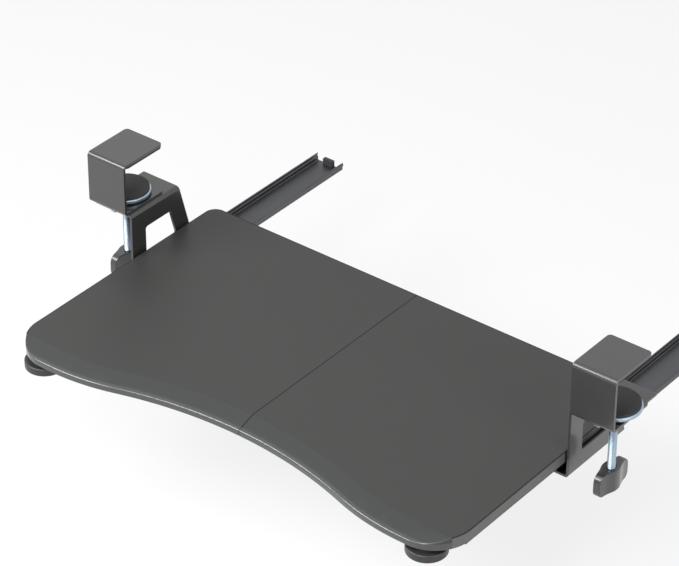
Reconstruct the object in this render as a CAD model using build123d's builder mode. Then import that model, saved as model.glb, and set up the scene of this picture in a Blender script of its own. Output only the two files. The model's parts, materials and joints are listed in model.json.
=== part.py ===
from build123d import *
import os
from math import atan2, cos, pi, radians, sin, sqrt

os.makedirs("parts", exist_ok=True)

# A keyboard tray that hangs on two screw clamps and slides on two ball slides.
# Millimetres. X runs to the right, Y to the back, Z up. The origin lies midway between the
# clamps, in the corner that they grip: the webs' rear faces stand at Y zero and the pads'
# undersides lie at Z zero. The tray is modelled pulled out. Right-hand pieces are modelled
# and mirrored to the left.

# Tray boards
tray_width = 508.0
tray_depth = 300.0
board_thickness = 12.0
deck_drop = 98.0            # from the pads' undersides down to the tray's top
wrist_depth = 32.0          # how far the middle of the front edge lies back
front_flat = 10.0           # the straight stretch beside each front corner
corner_radius = 40.0
rear_corner_radius = 12.0
concave_share = 0.645       # of the two radii that form the wave, what the hollow one takes
ramp_width = 20.0           # the sloped band along the front edge
ramp_drop = 6.5
front_arris = 2.0
band_thickness = 1.0
seam_gap = 0.3

# Board joints
plate_length = 110.0        # the two flat plates that join the halves
plate_width = 30.0
plate_steel = 2.0
plate_front_inset = 62.0    # from the hollow's lowest point to the front plate's middle
plate_back_inset = 45.0     # from the back edge to the back plate's middle
plate_corner = 5.0
joint_screw_pitch_x = 84.0
joint_screw_pitch_y = 14.0
joint_screw_radius = 1.75
joint_screw_head = 3.4
joint_screw_depth = 8.0     # how deep it goes into the board
dowel_radius = 4.0
dowel_length = 30.0
dowel_count = 3
dowel_spacing = 95.0
dowel_gap = 0.05

# Feet under the front corners
foot_radius = 19.5
foot_height = 8.0
foot_neck_radius = 13.0
foot_neck_height = 4.0
foot_inset_x = 30.5         # from the tray's side to the foot's middle
foot_inset_y = 17.5         # from the tray's front to the foot's middle
foot_slide_gap = 3.6        # from the foot back to the slide's inner member
foot_edge = 1.2
foot_screw_radius = 2.0
foot_screw_head = 3.8
foot_screw_head_height = 2.4
foot_well_radius = 5.0
foot_well_depth = 6.0
foot_screw_depth = 8.0

# Clamp frames, each one bent strip
strip_width = 46.3
strip_thickness = 3.0
strip_bend = 1.4            # inside radius of its bends
jaw_depth = 54.5            # from the web's rear face to the end of the top plate
jaw_corner = 4.0
throat_height = 48.6        # from the pad's underside to the top of the lower arm
clamp_gap = 6.2             # from the tray's side to the strip
desk_pad_thickness = 2.0
desk_pad_inset = 0.3

# Side brackets, each a bent plate
bracket_steel = 2.5
side_gap = 2.6              # from the tray's side to the plate
bracket_setback = 2.1       # from the web's rear face to the plate's front
bracket_length = 91.0
bracket_lean = 20.0         # how far the back edge leans from top to bottom
bracket_bend = 1.5
bracket_corner = 5.0
shelf_width = 41.0          # the bottom flange, from the plate's outside
top_flange_margin = 4.3     # how far the top flange ends short of the strip's edge
window_front_rail = 20.0
window_top_rail = 19.5
window_bottom_rail = 20.5
window_back_rail = 20.0
window_corner = 3.0
bracket_screw_radius = 2.5
bracket_screw_head = 4.8
bracket_screw_inset = 9.0   # from the arm's ends to its screws
bracket_nut_flats = 8.0
bracket_nut_height = 4.0

# Clamp screws
screw_radius = 4.0
screw_pitch = 1.25
screw_inset = 28.5          # from the web's rear face to the screw's axis
screw_outset = 3.65         # from the strip's middle outward to the screw's axis
running_gap = 0.05
hole_gap = 0.5
clamp_nut_flats = 13.0
clamp_nut_height = 6.5
disc_radius = 25.0
disc_steel = 1.5
disc_height = 3.5
disc_arris = 0.8
disc_rest_gap = 1.6         # from the arm up to the disc's rim, screw turned down
disc_pad_radius = 23.5
disc_pad_thickness = 2.0
tenon_radius = 2.5
tenon_gap = 0.08
rivet_radius = 4.0
rivet_height = 1.0
rivet_gap = 0.1
rivet_room = 0.3
screw_length = 82.0         # from the disc to the lower end inside the knob

# Wing knobs
knob_length = 46.0
knob_height = 24.0
knob_wing_height = 20.5
knob_wing_thickness = 9.0
knob_hub_radius = 8.0
knob_edge = 1.8
knob_bore_depth = 16.0

# Ball slides, lying flat between the bottom flange and the board
slide_height = 12.7
slide_width = 35.0
slide_sheet = 1.2
slide_bend = 1.5
slide_length = 250.0
inner_shortfall = 5.0       # how much shorter the inner member is than the outer one
slide_setback = 34.0        # from the bracket's front to the outer member's front
slide_side_gap = 2.5        # from the bracket's plate to the outer member
travel_in = 175.0
travel_out = 12.0
ball_radius = 2.38
ball_gap = 0.05
ball_height = 6.8           # of the ball's centre above the slide's base
race_angle = 90.0
ball_pitch = 14.0
ball_margin = 6.0           # from a cage's end to its first ball's middle, at the least
cage_sheet = 0.6
cage_end_room = 7.75        # from a cage's end to the end of the member that would stop it
cage_web_height = 3.55
cage_top = 10.2
cage_bend = 0.8
cage_hole_gap = 0.12
tab_width = 8.0
front_tab_height = 3.2
inner_tab_foot = 2.4        # how far the inner tab ends above the slide's base
bumper_length = 4.2
bumper_width = 12.0
bumper_height = 6.8
stop_gap = 0.3
slide_screw_radius = 2.0
slide_screw_head = 3.6
slide_screw_head_height = 1.6
slide_screw_inset = 12.0
slide_screw_pitch = 32.0
slide_nut_flats = 7.0
slide_nut_height = 3.2
inner_screw_radius = 1.75
inner_screw_head = 3.2
inner_screw_head_height = 1.8
inner_screw_inset = 25.0
inner_screw_depth = 9.0
inner_screw_count = 3
thread_gap = 0.05           # between a fixed screw and its hole
overrun = 1.0               # what a cut runs past a face
level_share = 0.01          # how far from level or upright still counts as level or upright

# Places that follow from the sizes. The tray hangs on the slides' inner members, so its
# front lies ahead of them by what the feet need.
bracket_front = bracket_setback
bracket_back = bracket_front + bracket_length
outer_front = bracket_front + slide_setback
outer_back = outer_front + slide_length
inner_length = slide_length - inner_shortfall
inner_back = outer_back - bumper_length - stop_gap - travel_in
inner_front = inner_back - inner_length
cage_middle = (outer_front + inner_back) / 2
cage_length = inner_back - outer_front - 2 * cage_end_room
balls_in_row = 1 + int((cage_length - 2 * ball_margin) / ball_pitch)
foot_y = inner_front - foot_slide_gap - foot_radius
half_tray = tray_width / 2
tray_front = foot_y - foot_inset_y
tray_back = tray_front + tray_depth
deck_z = -deck_drop
board_bottom = deck_z - board_thickness
shelf_top = board_bottom - slide_height
bracket_bottom = shelf_top - bracket_steel
arm_top = -throat_height
arm_bottom = arm_top - strip_thickness
top_flange_bottom = arm_bottom - bracket_steel
strip_inboard = half_tray + clamp_gap
strip_outboard = strip_inboard + strip_width
strip_x = strip_inboard + strip_width / 2
screw_x = strip_x + screw_outset
plate_inside = half_tray + side_gap
plate_outside = plate_inside + bracket_steel
disc_bottom = arm_top + disc_rest_gap
disc_top = disc_bottom + disc_height
disc_web = disc_top - disc_steel
screw_bottom = disc_bottom - screw_length
knob_top = screw_bottom + knob_bore_depth
knob_middle = knob_top - knob_height / 2
rail_x = plate_inside - slide_side_gap - slide_width / 2
foot_x = half_tray - foot_inset_x


def save(part, name):
    part.label = name
    export_step(part, f"parts/{name}.step")
    return part


def save_pair(part, name):
    """Writes a right-hand piece and its mirror image on the left."""
    save(part, f"right_{name}")
    save(mirror(part, about=Plane.YZ), f"left_{name}")


# The tray's plan. Its front edge is a wave: a hollow arc in the middle and a full arc each
# side of it, tangent to each other, then a short flat and the corner.
wave_end = half_tray - corner_radius - front_flat
radii_sum = (wave_end ** 2 + wrist_depth ** 2) / (2 * wrist_depth)
hollow_radius = radii_sum * concave_share
full_radius = radii_sum - hollow_radius
hollow_y = tray_front + wrist_depth
wave_angle = atan2(wave_end, radii_sum - wrist_depth)


def on_circle(middle, radius, angle):
    """The point at an angle from the direction of +Y, turning towards +X."""
    return (middle[0] + radius * sin(angle), middle[1] + radius * cos(angle))


def wave(setback):
    """The right half of the front wave, moved back in parallel by setback."""
    hollow_middle = (0, hollow_y - hollow_radius)
    full_middle = (wave_end, tray_front + full_radius)
    hollow = [on_circle(hollow_middle, hollow_radius + setback, wave_angle * share) for share in (0, 0.5, 1)]
    full = [on_circle(full_middle, full_radius - setback, pi + wave_angle * share) for share in (1, 0.5, 0)]
    ThreePointArc(*hollow)
    ThreePointArc(*full)
    return full[-1]


with BuildSketch(Plane.XY.offset(board_bottom)) as tray_plan:
    with BuildLine():
        wave(0)
        FilletPolyline(
            (wave_end, tray_front),
            (half_tray, tray_front),
            (half_tray, tray_front + tray_depth / 2),
            radius=corner_radius,
        )
        FilletPolyline(
            (half_tray, tray_front + tray_depth / 2),
            (half_tray, tray_back),
            (0, tray_back),
            radius=rear_corner_radius,
        )
        mirror(about=Plane.YZ)
    make_face()

with BuildSketch(Plane.XY.offset(board_bottom)) as banded_plan:
    add(tray_plan.sketch)
    offset(amount=-band_thickness, mode=Mode.REPLACE)

# The edge band runs round the side and the back, and starts where the ramp ends.
band_start = tray_front + ramp_width
with BuildPart() as edge_band:
    with BuildSketch(Plane.XY.offset(board_bottom)) as band_plan:
        add(tray_plan.sketch)
        add(banded_plan.sketch, mode=Mode.SUBTRACT)
        with Locations((seam_gap / 2, band_start)):
            Rectangle(tray_width, tray_depth, align=Align.MIN, mode=Mode.INTERSECT)
        with Locations((0, tray_front)):
            Rectangle(wave_end, tray_depth / 2, align=Align.MIN, mode=Mode.SUBTRACT)
    extrude(amount=board_thickness)
save_pair(edge_band.part, "edge_band")

plate_ys = (hollow_y + plate_front_inset, tray_back - plate_back_inset)
joint_screw_places = [
    (x, y + dy)
    for y in plate_ys
    for dy in (-joint_screw_pitch_y / 2, joint_screw_pitch_y / 2)
    for x in (-joint_screw_pitch_x / 2, joint_screw_pitch_x / 2)
]
dowel_middle_y = (hollow_y + tray_back) / 2
dowel_ys = [dowel_middle_y + dowel_spacing * (i - (dowel_count - 1) / 2) for i in range(dowel_count)]
inner_screw_run = inner_length - 2 * inner_screw_inset
inner_screw_pitch = inner_screw_run / (inner_screw_count - 1)
inner_screw_ys = [inner_front + inner_screw_inset + inner_screw_pitch * i for i in range(inner_screw_count)]

with BuildPart() as tray_half:
    with BuildSketch(Plane.XY.offset(board_bottom)):
        add(tray_plan.sketch)
        with Locations((seam_gap / 2, tray_front - overrun)):
            Rectangle(tray_width, tray_depth + 2 * overrun, align=Align.MIN, mode=Mode.INTERSECT)
    extrude(amount=board_thickness)
    # The ramp: a wedge carried along the crease, which is parallel to the front wave and
    # runs straight out past the corner.
    with BuildLine(Plane.XY.offset(deck_z)) as crease:
        crease_end = wave(ramp_width)
        Line(crease_end, (half_tray + overrun, crease_end[1]))
    with BuildSketch(Plane(origin=(0, hollow_y + ramp_width, deck_z), x_dir=(0, -1, 0), z_dir=(1, 0, 0))):
        with BuildLine():
            Polyline((0, 0), (2 * ramp_width, 0), (2 * ramp_width, 2 * ramp_drop), (0, 0))
        make_face()
    sweep(path=crease.line, mode=Mode.SUBTRACT)
    front_faces = tray_half.faces().filter_by(lambda f: abs(f.normal_at().Z) < level_share)
    front_faces = front_faces.filter_by(lambda f: f.center().Y < tray_front + corner_radius)
    front_edges = [e for f in front_faces for e in f.edges() if abs(e.tangent_at(0).Z) < 1 - level_share]
    ramp_edges = [e for e in front_edges if board_bottom < e.center().Z - overrun < deck_z - ramp_drop / 2]
    fillet(ramp_edges, front_arris)
    add(edge_band.part, mode=Mode.SUBTRACT)
    for y in dowel_ys:
        with Locations(Plane(origin=(0, y, board_bottom + board_thickness / 2), z_dir=(1, 0, 0))):
            Hole(dowel_radius + dowel_gap, dowel_length / 2 + dowel_gap)
    with Locations(*[(x, y, board_bottom) for x, y in joint_screw_places if x > 0]):
        Hole(joint_screw_radius + thread_gap, joint_screw_depth + thread_gap)
    with Locations(*[(rail_x, y, board_bottom) for y in inner_screw_ys]):
        Hole(inner_screw_radius + thread_gap, inner_screw_depth + thread_gap)
    with Locations((foot_x, foot_y, board_bottom)):
        Hole(foot_screw_radius + thread_gap, foot_screw_depth + thread_gap)
save_pair(tray_half.part, "tray_half")


def turned(*outline):
    """A solid turned about Z from a closed outline of (radius, height) points."""
    with BuildPart() as piece:
        with BuildSketch(Plane.XZ):
            with BuildLine():
                Polyline(*outline, close=True)
            make_face()
        revolve(axis=Axis.Z)
    return piece.part


def countersunk_screw(radius, head, length):
    """A screw pointing up, the face of its countersunk head at zero height."""
    return turned((0, 0), (head - thread_gap, 0), (radius, head - radius), (radius, length), (0, length))


def pan_screw(radius, head, head_height, length):
    """A screw pointing up, the underside of its low domed head at zero height."""
    crown = head_height / 2
    return turned(
        (0, -head_height),
        (head - crown, -head_height),
        (head, -crown),
        (head, 0),
        (radius, 0),
        (radius, length),
        (0, length),
    )


def upside_down(part):
    return mirror(part, about=Plane.XY)


def group(part, places):
    """Copies of a piece at a list of places, as one group of separate solids."""
    with BuildPart() as copies:
        with Locations(*places):
            add(part)
    return copies.part


def hex_nut(flats, height, bore):
    """A nut standing on zero height."""
    with BuildPart() as nut:
        with BuildSketch():
            RegularPolygon(flats / 2, 6, major_radius=False)
            Circle(bore, mode=Mode.SUBTRACT)
        extrude(amount=height)
    return nut.part


# The two flat plates that join the halves, each with four countersunk screws.
plate_bottom = board_bottom - plate_steel
for place, y in zip(("front", "back"), plate_ys):
    screws_here = [(x, sy) for x, sy in joint_screw_places if abs(sy - y) < plate_width]
    with BuildPart() as joining_plate:
        with BuildSketch(Plane.XY.offset(plate_bottom)):
            with Locations((0, y)):
                RectangleRounded(plate_length, plate_width, plate_corner)
        extrude(amount=plate_steel)
        with Locations(*[Plane(origin=(x, sy, plate_bottom), z_dir=(0, 0, -1)) for x, sy in screws_here]):
            CounterSinkHole(joint_screw_radius + thread_gap, joint_screw_head, counter_sink_angle=90)
    save(joining_plate.part, f"{place}_joining_plate")

joint_screw = countersunk_screw(joint_screw_radius, joint_screw_head, plate_steel + joint_screw_depth)
save(group(joint_screw, [(x, y, plate_bottom) for x, y in joint_screw_places]), "joining_screws")

with BuildPart() as dowel:
    Cylinder(dowel_radius, dowel_length, rotation=(0, 90, 0))
    chamfer(dowel.edges().filter_by(GeomType.CIRCLE), dowel_radius / 4)
save(group(dowel.part, [(0, y, board_bottom + board_thickness / 2) for y in dowel_ys]), "alignment_dowels")

# The feet: a soft disc on a narrower neck, with its screw sunk in a well.
foot_bottom = board_bottom - foot_neck_height - foot_height
with BuildPart() as foot:
    with BuildSketch(Plane.XY.offset(foot_bottom)):
        with Locations((foot_x, foot_y)):
            Circle(foot_radius)
    extrude(amount=foot_height)
    fillet(foot.edges(), foot_edge)
    with BuildSketch(Plane.XY.offset(foot_bottom + foot_height)):
        with Locations((foot_x, foot_y)):
            Circle(foot_neck_radius)
    extrude(amount=foot_neck_height)
    with Locations(Plane(origin=(foot_x, foot_y, foot_bottom), z_dir=(0, 0, -1))):
        CounterBoreHole(foot_screw_radius + thread_gap, foot_well_radius, foot_well_depth)
save_pair(foot.part, "foot")
foot_screw_length = foot_height + foot_neck_height - foot_well_depth + foot_screw_depth
foot_screw = pan_screw(foot_screw_radius, foot_screw_head, foot_screw_head_height, foot_screw_length)
save_pair(group(foot_screw, [(foot_x, foot_y, foot_bottom + foot_well_depth)]), "foot_screw")

# The clamp frame: one strip bent to a top plate, an upright web in front and an arm.
strip_middle = strip_thickness / 2
arm_holes = [(strip_x, bracket_screw_inset, arm_top), (strip_x, jaw_depth - bracket_screw_inset, arm_top)]
with BuildPart() as clamp_frame:
    with BuildSketch(Plane.YZ.offset(strip_inboard)):
        with BuildLine():
            FilletPolyline(
                (jaw_depth, desk_pad_thickness + strip_middle),
                (-strip_middle, desk_pad_thickness + strip_middle),
                (-strip_middle, arm_top - strip_middle),
                (jaw_depth, arm_top - strip_middle),
                radius=strip_bend + strip_middle,
            )
        trace(line_width=strip_thickness)
    extrude(amount=strip_width)
    fillet(clamp_frame.edges().filter_by(Axis.Z).group_by(Axis.Y)[-1], jaw_corner)
    with Locations((screw_x, screw_inset, arm_top)):
        Hole(screw_radius + hole_gap, strip_thickness + overrun)
    with Locations(*arm_holes):
        CounterSinkHole(
            bracket_screw_radius + thread_gap,
            bracket_screw_head,
            depth=strip_thickness + overrun,
            counter_sink_angle=90,
        )
save_pair(clamp_frame.part, "clamp_frame")

desk_pad_length = jaw_depth - strip_bend - desk_pad_inset
with BuildPart() as desk_pad:
    with BuildSketch():
        with Locations((strip_x, strip_bend + desk_pad_length / 2)):
            RectangleRounded(strip_width - 2 * desk_pad_inset, desk_pad_length, jaw_corner)
    extrude(amount=desk_pad_thickness)
save_pair(desk_pad.part, "desk_pad")

# The side bracket: one plate bent to a top flange under the arm, a windowed side beside the
# tray and a shelf for the slide. Its back edge leans.
plate_middle = bracket_steel / 2
top_back = bracket_back - bracket_lean
lean_share = bracket_lean / (top_flange_bottom - bracket_bottom)
window_top = top_flange_bottom - window_top_rail
window_bottom = bracket_bottom + window_bottom_rail


def back_edge(z):
    """How far back the leaning edge stands at a height."""
    return top_back + (top_flange_bottom - z) * lean_share


with BuildPart() as side_bracket:
    with BuildSketch(Plane.XZ.offset(-bracket_front)):
        with BuildLine():
            FilletPolyline(
                (strip_outboard - top_flange_margin, arm_bottom - plate_middle),
                (plate_outside - plate_middle, arm_bottom - plate_middle),
                (plate_outside - plate_middle, bracket_bottom + plate_middle),
                (plate_outside - shelf_width, bracket_bottom + plate_middle),
                radius=bracket_bend + plate_middle,
            )
        trace(line_width=bracket_steel)
    extrude(amount=-bracket_length)
    with BuildSketch(Plane.YZ.offset(plate_outside - shelf_width - overrun)):
        with BuildLine():
            Polyline(
                (back_edge(arm_bottom), arm_bottom),
                (back_edge(bracket_bottom), bracket_bottom),
                (back_edge(bracket_bottom) + bracket_lean, bracket_bottom),
                (back_edge(bracket_bottom) + bracket_lean, arm_bottom),
                close=True,
            )
        make_face()
    extrude(amount=shelf_width + strip_width + 2 * overrun, mode=Mode.SUBTRACT)
    with BuildSketch(Plane.YZ.offset(plate_inside - overrun)):
        with BuildLine():
            FilletPolyline(
                (bracket_front + window_front_rail, window_top),
                (back_edge(window_top) - window_back_rail, window_top),
                (back_edge(window_bottom) - window_back_rail, window_bottom),
                (bracket_front + window_front_rail, window_bottom),
                close=True,
                radius=window_corner,
            )
        make_face()
    extrude(amount=bracket_steel + 2 * overrun, mode=Mode.SUBTRACT)
    shelf_end = side_bracket.faces().sort_by(Axis.X)[0]
    fillet(shelf_end.edges().filter_by(lambda e: e.length < 2 * bracket_steel), bracket_corner)
    with Locations((screw_x, screw_inset, arm_bottom)):
        Hole(screw_radius + hole_gap, bracket_steel + overrun)
    with Locations(*[(x, y, arm_bottom) for x, y, z in arm_holes]):
        Hole(bracket_screw_radius + thread_gap, bracket_steel + overrun)
    slide_screw_ys = [outer_front + slide_screw_inset + slide_screw_pitch * i for i in range(2)]
    with Locations(*[(rail_x, y, shelf_top) for y in slide_screw_ys]):
        Hole(slide_screw_radius + thread_gap, bracket_steel + overrun)
save_pair(side_bracket.part, "side_bracket")

bracket_screw_length = strip_thickness + bracket_steel + bracket_nut_height + overrun
bracket_screw = upside_down(countersunk_screw(bracket_screw_radius, bracket_screw_head, bracket_screw_length))
save_pair(group(bracket_screw, arm_holes), "bracket_screws")
bracket_nut = hex_nut(bracket_nut_flats, bracket_nut_height, bracket_screw_radius + thread_gap)
bracket_nut_z = top_flange_bottom - bracket_nut_height
save_pair(group(bracket_nut, [(x, y, bracket_nut_z) for x, y, z in arm_holes]), "bracket_nuts")

clamp_nut = hex_nut(clamp_nut_flats, clamp_nut_height, screw_radius + running_gap)
clamp_nut_z = top_flange_bottom - clamp_nut_height
save_pair(group(clamp_nut, [(screw_x, screw_inset, clamp_nut_z)]), "clamp_nut")

# The pressure disc: a shallow cap with a soft pad on top. The screw's tenon is riveted
# through its middle, so the disc stays still while the screw turns.
pressure_disc = turned(
    (tenon_radius + tenon_gap, disc_web),
    (disc_radius - disc_steel, disc_web),
    (disc_radius - disc_steel, disc_bottom),
    (disc_radius, disc_bottom),
    (disc_radius, disc_top - disc_arris),
    (disc_radius - disc_arris, disc_top),
    (tenon_radius + tenon_gap, disc_top),
)
save_pair(group(pressure_disc, [(screw_x, screw_inset, 0)]), "pressure_disc")
rivet_room_radius = rivet_radius + rivet_room
rivet_room_top = disc_top + rivet_gap + rivet_height + rivet_room
disc_pad = turned(
    (rivet_room_radius, disc_top),
    (disc_pad_radius, disc_top),
    (disc_pad_radius, disc_top + disc_pad_thickness),
    (0, disc_top + disc_pad_thickness),
    (0, rivet_room_top),
    (rivet_room_radius, rivet_room_top),
)
save_pair(group(disc_pad, [(screw_x, screw_inset, 0)]), "disc_pad")

clamp_screw = turned(
    (0, screw_bottom),
    (screw_radius, screw_bottom),
    (screw_radius, disc_web - rivet_gap),
    (tenon_radius, disc_web - rivet_gap),
    (tenon_radius, disc_top + rivet_gap),
    (rivet_radius, disc_top + rivet_gap),
    (rivet_radius, disc_top + rivet_gap + rivet_height),
    (0, disc_top + rivet_gap + rivet_height),
)
save_pair(group(clamp_screw, [(screw_x, screw_inset, 0)]), "clamp_screw")

# The wing knob: two round wings either side of a hub.
wing_round = knob_wing_height / 2
wing_reach = knob_length / 2 - wing_round
with BuildPart() as hub:
    with Locations((screw_x, screw_inset, knob_middle)):
        Cylinder(knob_hub_radius, knob_height)
    fillet(hub.edges().filter_by(GeomType.CIRCLE), knob_edge)

with BuildPart() as wing_knob:
    with BuildSketch(Plane.YZ.offset(screw_x - knob_wing_thickness / 2)):
        with Locations((screw_inset, knob_middle)):
            SlotCenterToCenter(2 * wing_reach, knob_wing_height)
    extrude(amount=knob_wing_thickness)
    fillet(wing_knob.edges(), knob_edge)
    add(hub.part)
    with Locations((screw_x, screw_inset, knob_top)):
        Hole(screw_radius, knob_bore_depth)
save_pair(wing_knob.part, "wing_knob")

# The ball slide. Both members are rolled from sheet, with a groove each for the balls.
sheet_middle = slide_sheet / 2
groove_radius = ball_radius + ball_gap + sheet_middle
ball_x = slide_width / 2 - slide_sheet - ball_gap - ball_radius
groove_reach = groove_radius * sin(radians(race_angle / 2))


def slide_section(base, side, top_first):
    """The middle line of a member: a flat, a leg and the groove round the ball."""
    leg = ball_x + side * groove_reach
    first = ball_height + groove_reach * (1 if top_first else -1)
    FilletPolyline((0, base), (leg, base), (leg, first), radius=slide_bend)
    start_angle = -race_angle / 2 if side > 0 else 180 + race_angle / 2
    CenterArc((ball_x, ball_height), groove_radius, start_angle, side * race_angle)
    mirror(about=Plane.YZ)


def slide_plane(y):
    """The section plane of the right slide, on the shelf, looking to the back."""
    return Plane(origin=(rail_x, y, shelf_top), x_dir=(1, 0, 0), z_dir=(0, -1, 0))


with BuildPart() as slide_outer:
    with BuildSketch(slide_plane(outer_front)):
        with BuildLine():
            slide_section(sheet_middle, 1, False)
        trace(line_width=slide_sheet)
    extrude(amount=-slide_length)
    with BuildSketch(slide_plane(outer_front)):
        with Locations((0, slide_sheet)):
            Rectangle(tab_width, front_tab_height, align=(Align.CENTER, Align.MIN))
    extrude(amount=-slide_sheet)
    with Locations(*[(rail_x, y, shelf_top + slide_sheet) for y in slide_screw_ys]):
        Hole(slide_screw_radius + thread_gap, slide_sheet + overrun)
save_pair(slide_outer.part, "slide_outer")

with BuildPart() as slide_inner:
    with BuildSketch(slide_plane(inner_front)):
        with BuildLine():
            slide_section(slide_height - sheet_middle, -1, True)
        trace(line_width=slide_sheet)
    extrude(amount=-inner_length)
    with BuildSketch(slide_plane(inner_back - slide_sheet)):
        with Locations((0, inner_tab_foot)):
            Rectangle(tab_width, slide_height - slide_sheet - inner_tab_foot, align=(Align.CENTER, Align.MIN))
    extrude(amount=-slide_sheet)
    with Locations(*[(rail_x, y, board_bottom - slide_sheet) for y in inner_screw_ys]):
        Hole(inner_screw_radius + thread_gap, slide_sheet + overrun)
save_pair(slide_inner.part, "slide_inner")

slide_screw_length = slide_sheet + bracket_steel + slide_nut_height + overrun
slide_screw = upside_down(
    pan_screw(slide_screw_radius, slide_screw_head, slide_screw_head_height, slide_screw_length)
)
slide_screw_places = [(rail_x, y, shelf_top + slide_sheet) for y in slide_screw_ys]
save_pair(group(slide_screw, slide_screw_places), "slide_screws")
slide_nut = hex_nut(slide_nut_flats, slide_nut_height, slide_screw_radius + thread_gap)
slide_nut_z = bracket_bottom - slide_nut_height
save_pair(group(slide_nut, [(rail_x, y, slide_nut_z) for y in slide_screw_ys]), "slide_nuts")

inner_screw = pan_screw(
    inner_screw_radius, inner_screw_head, inner_screw_head_height, slide_sheet + inner_screw_depth
)
inner_screw_places = [(rail_x, y, board_bottom - slide_sheet) for y in inner_screw_ys]
save_pair(group(inner_screw, inner_screw_places), "inner_slide_screws")

with BuildPart() as slide_bumper:
    with BuildSketch(slide_plane(outer_back - bumper_length)):
        with Locations((0, slide_sheet)):
            Rectangle(bumper_width, bumper_height, align=(Align.CENTER, Align.MIN))
    extrude(amount=-bumper_length)
save_pair(slide_bumper.part, "slide_bumper")

# The cage keeps the balls apart and travels half as far as the tray.
ball_ys = [cage_middle + ball_pitch * (i - (balls_in_row - 1) / 2) for i in range(balls_in_row)]
cage_start = cage_middle - cage_length / 2
with BuildPart() as ball_cage:
    with BuildSketch(slide_plane(cage_start)):
        with BuildLine():
            FilletPolyline(
                (-ball_x, cage_top),
                (-ball_x, cage_web_height),
                (ball_x, cage_web_height),
                (ball_x, cage_top),
                radius=cage_bend,
            )
        trace(line_width=cage_sheet)
    extrude(amount=-cage_length)
    with Locations(*[Plane(origin=(rail_x, y, shelf_top + ball_height), z_dir=(1, 0, 0)) for y in ball_ys]):
        Hole(ball_radius + cage_hole_gap, slide_width / 2)
save_pair(ball_cage.part, "ball_cage")

ball_places = [(rail_x + x, y, shelf_top + ball_height) for y in ball_ys for x in (-ball_x, ball_x)]
with BuildPart() as slide_balls:
    with Locations(*ball_places):
        Sphere(ball_radius)
save_pair(slide_balls.part, "slide_balls")
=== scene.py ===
import json
import math
from collections import namedtuple

import bpy
from bpy.props import FloatProperty, FloatVectorProperty, IntProperty, PointerProperty
from bpy.types import Operator, Panel, PropertyGroup
from mathutils import Matrix, Vector


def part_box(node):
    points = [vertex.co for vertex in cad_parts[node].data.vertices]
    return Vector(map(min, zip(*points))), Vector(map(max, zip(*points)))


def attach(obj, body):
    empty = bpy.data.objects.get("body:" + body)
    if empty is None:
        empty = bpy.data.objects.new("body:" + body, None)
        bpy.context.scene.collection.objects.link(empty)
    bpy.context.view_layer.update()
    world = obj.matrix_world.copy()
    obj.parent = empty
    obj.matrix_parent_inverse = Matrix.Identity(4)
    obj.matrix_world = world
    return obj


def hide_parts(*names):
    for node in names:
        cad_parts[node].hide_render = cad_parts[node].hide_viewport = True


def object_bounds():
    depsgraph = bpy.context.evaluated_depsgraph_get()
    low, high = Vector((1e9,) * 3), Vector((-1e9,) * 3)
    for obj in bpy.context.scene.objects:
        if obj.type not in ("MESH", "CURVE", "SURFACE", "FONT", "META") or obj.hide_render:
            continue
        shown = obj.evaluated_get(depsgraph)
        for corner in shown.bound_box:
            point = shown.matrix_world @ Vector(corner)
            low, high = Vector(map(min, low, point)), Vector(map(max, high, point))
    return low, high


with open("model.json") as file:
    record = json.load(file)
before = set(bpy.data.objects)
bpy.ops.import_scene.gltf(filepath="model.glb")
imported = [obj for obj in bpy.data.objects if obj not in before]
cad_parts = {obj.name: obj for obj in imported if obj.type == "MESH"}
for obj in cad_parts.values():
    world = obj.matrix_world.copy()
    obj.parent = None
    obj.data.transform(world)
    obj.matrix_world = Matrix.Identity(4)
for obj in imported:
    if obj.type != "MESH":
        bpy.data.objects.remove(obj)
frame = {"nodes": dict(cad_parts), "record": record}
cad_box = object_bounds()

bl_info = {
    "name": "Clamp-on keyboard tray",
    "version": (1, 0, 0),
    "blender": (4, 5, 0),
    "location": "View3D > Sidebar > Tray",
    "description": "Dresses a sliding keyboard tray with finishes, threads and moulded knobs",
    "category": "Object",
}

SIDES = ("left", "right")
MM = 0.001

# Two places nearer than this count as one
SAME_PLACE = 0.01 * MM

# Points of a copied solid, and of a thread's turns, are merged when they are nearer than this
MERGE = 0.002 * MM

# A face looks along an axis when its normal's share along it is more than this
FACING = 0.9

# Angle in degrees up to which a copied solid's triangles become one flat face
FLAT_ANGLE = 0.4

# Angles in degrees up to which faces are shaded as one, in general and on three kinds of piece
SMOOTH = 35
BOARD_SMOOTH = 28
KNOB_SMOOTH = 34
SMALL_SCREW_SMOOTH = 30

# Angles in degrees from which an edge is eased, and the widths of the eased edges
SHEET_EDGE_ANGLE = 30
KNOB_EDGE_ANGLE = 38
CLAMP_EDGE = 0.35 * MM
DISC_EDGE = 0.2 * MM


# Sizes and colours that a user can change


class BoardFinish(PropertyGroup):
    """Colours of the tray's boards, and the sizes of their specks and seam."""

    laminate: FloatVectorProperty(
        name="Laminate",
        description="Colour of the tray's flat top",
        subtype="COLOR",
        default=(0.034, 0.034, 0.033),
    )
    # The sloped band is the same laminate, its colour set a little lighter than the top's as a painted
    # sheen
    ramp: FloatVectorProperty(
        name="Ramp",
        description="Colour of the sloped front band",
        subtype="COLOR",
        default=(0.037, 0.041, 0.039),
    )
    backing: FloatVectorProperty(
        name="Backing",
        description="Colour of the underside",
        subtype="COLOR",
        default=(0.036, 0.034, 0.032),
    )
    band: FloatVectorProperty(
        name="Edge band",
        description="Colour of the band round the sides",
        subtype="COLOR",
        default=(0.100, 0.100, 0.097),
    )
    speck: FloatProperty(
        name="Speck size",
        description="Size of the laminate's fine specks",
        subtype="DISTANCE",
        default=0.0011,
        min=0.0002,
    )
    seam: FloatProperty(
        name="Seam chamfer",
        description="Chamfer of the seam's upper edges",
        subtype="DISTANCE",
        default=0.0004,
        min=0.0001,
    )


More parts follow.
